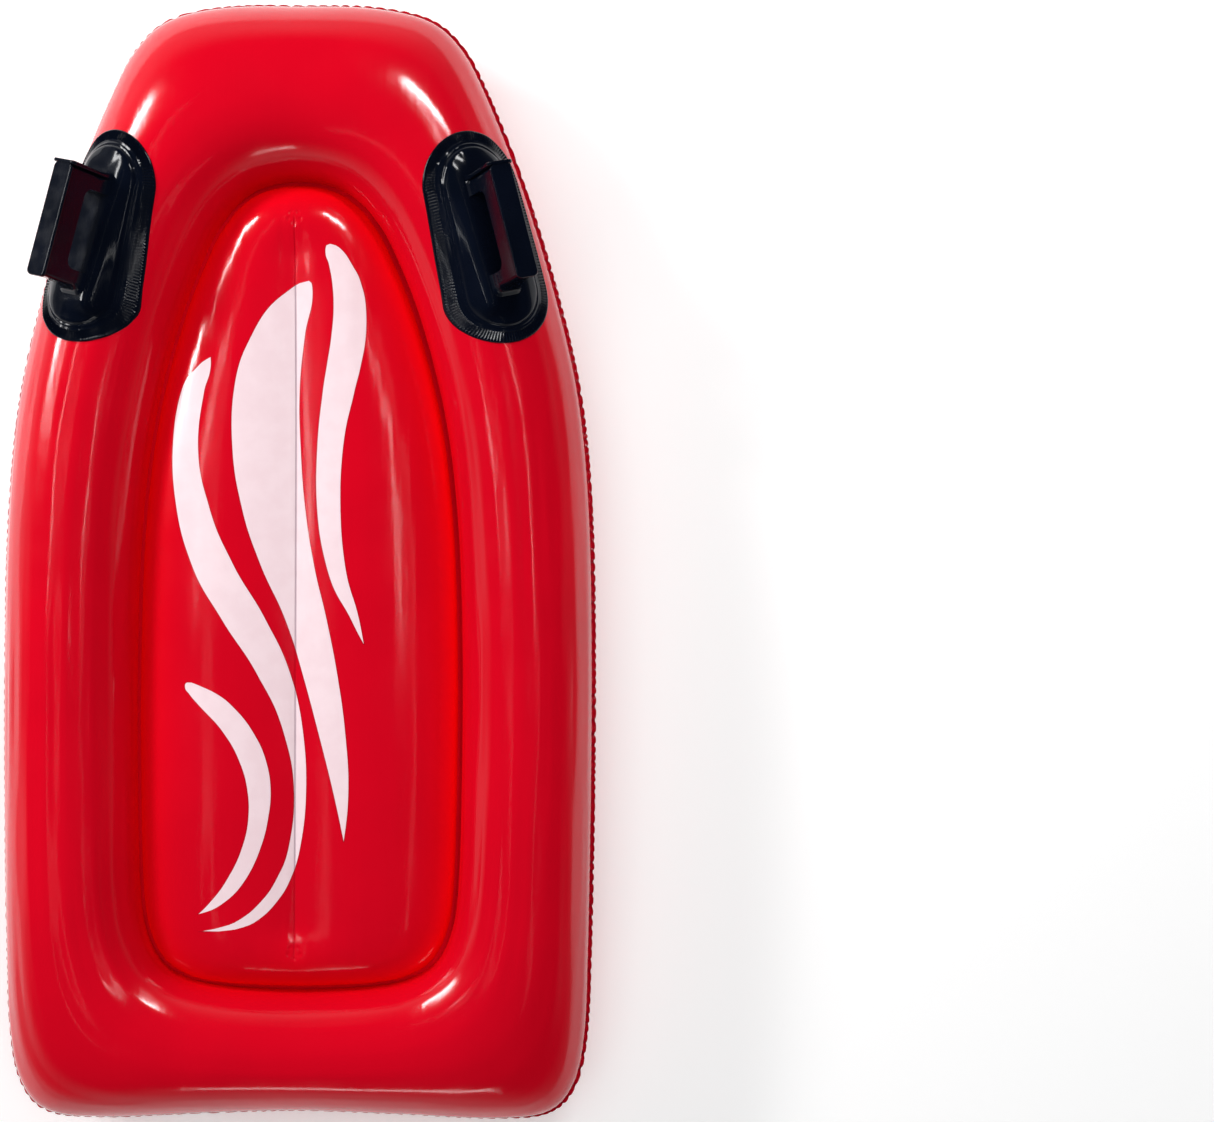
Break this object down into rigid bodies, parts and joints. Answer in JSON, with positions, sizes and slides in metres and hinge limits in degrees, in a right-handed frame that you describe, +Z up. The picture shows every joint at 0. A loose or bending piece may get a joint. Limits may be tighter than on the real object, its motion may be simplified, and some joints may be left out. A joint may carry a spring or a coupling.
{
  "type": "inflatable bodyboard",
  "caption": "Inflatable prone bodyboard: a fat outer ring tube around a lower padded deck with a centre seam, two moulded grab handles and push-in air valves underneath.",
  "frame": {"origin": "on the floor under the middle of the board's outline, with the board lying flat on its hull", "axes": "+Z up, +Y towards the nose, +X towards the rider's right hand"},
  "size_m": [0.533, 0.9982, 0.1719],
  "materials": {
    "red_pvc_film": "inflated glossy PVC film, high gloss",
    "black_vinyl": "glossy moulded black vinyl",
    "clear_valve_vinyl": "soft milky translucent vinyl"
  },
  "bodies": {
    "root": {"deck_sheet": "red_pvc_film", "hull_sheet": "red_pvc_film", "centre_web": "red_pvc_film", "left_handle_patch": "black_vinyl", "left_handle_grip": "black_vinyl", "right_handle_patch": "black_vinyl", "right_handle_grip": "black_vinyl", "ring_valve_base": "clear_valve_vinyl", "pad_valve_base": "clear_valve_vinyl"},
    "ring_valve_stem": {"ring_valve_stem": "clear_valve_vinyl"},
    "ring_valve_plug": {"ring_valve_plug": "clear_valve_vinyl"},
    "ring_valve_flap": {"ring_valve_flap": "clear_valve_vinyl"},
    "pad_valve_stem": {"pad_valve_stem": "clear_valve_vinyl"},
    "pad_valve_plug": {"pad_valve_plug": "clear_valve_vinyl"},
    "pad_valve_flap": {"pad_valve_flap": "clear_valve_vinyl"}
  },
  "joints": [
    {"name": "ring_valve_pull", "type": "slide", "parent": "root", "child": "ring_valve_stem", "axis": [0.0417, -0.8087, -0.5867], "range_m": [0, 0.011]},
    {"name": "ring_valve_plug_hinge", "type": "hinge", "parent": "ring_valve_stem", "child": "ring_valve_plug", "pos_m": [-0.10553, -0.48483, 0.02899], "axis": [-0.9975, 0, -0.0709], "range_deg": [0, 120]},
    {"name": "ring_valve_flap_hinge", "type": "hinge", "parent": "ring_valve_stem", "child": "ring_valve_flap", "pos_m": [-0.10632, -0.46375, 0.04009], "axis": [-0.9975, 0, -0.0709], "range_deg": [-35, 0]},
    {"name": "pad_valve_pull", "type": "slide", "parent": "root", "child": "pad_valve_stem", "axis": [0.0298, -0.0028, -0.9996], "range_m": [0, 0.011]},
    {"name": "pad_valve_plug_hinge", "type": "hinge", "parent": "pad_valve_stem", "child": "pad_valve_plug", "pos_m": [0.066, -0.2528, 0.026], "axis": [0.9996, 0, 0.0298], "range_deg": [0, 120]},
    {"name": "pad_valve_flap_hinge", "type": "hinge", "parent": "pad_valve_stem", "child": "pad_valve_flap", "pos_m": [0.06529, -0.25613, 0.04959], "axis": [0.9996, 0, 0.0298], "range_deg": [-35, 0]}
  ]
}
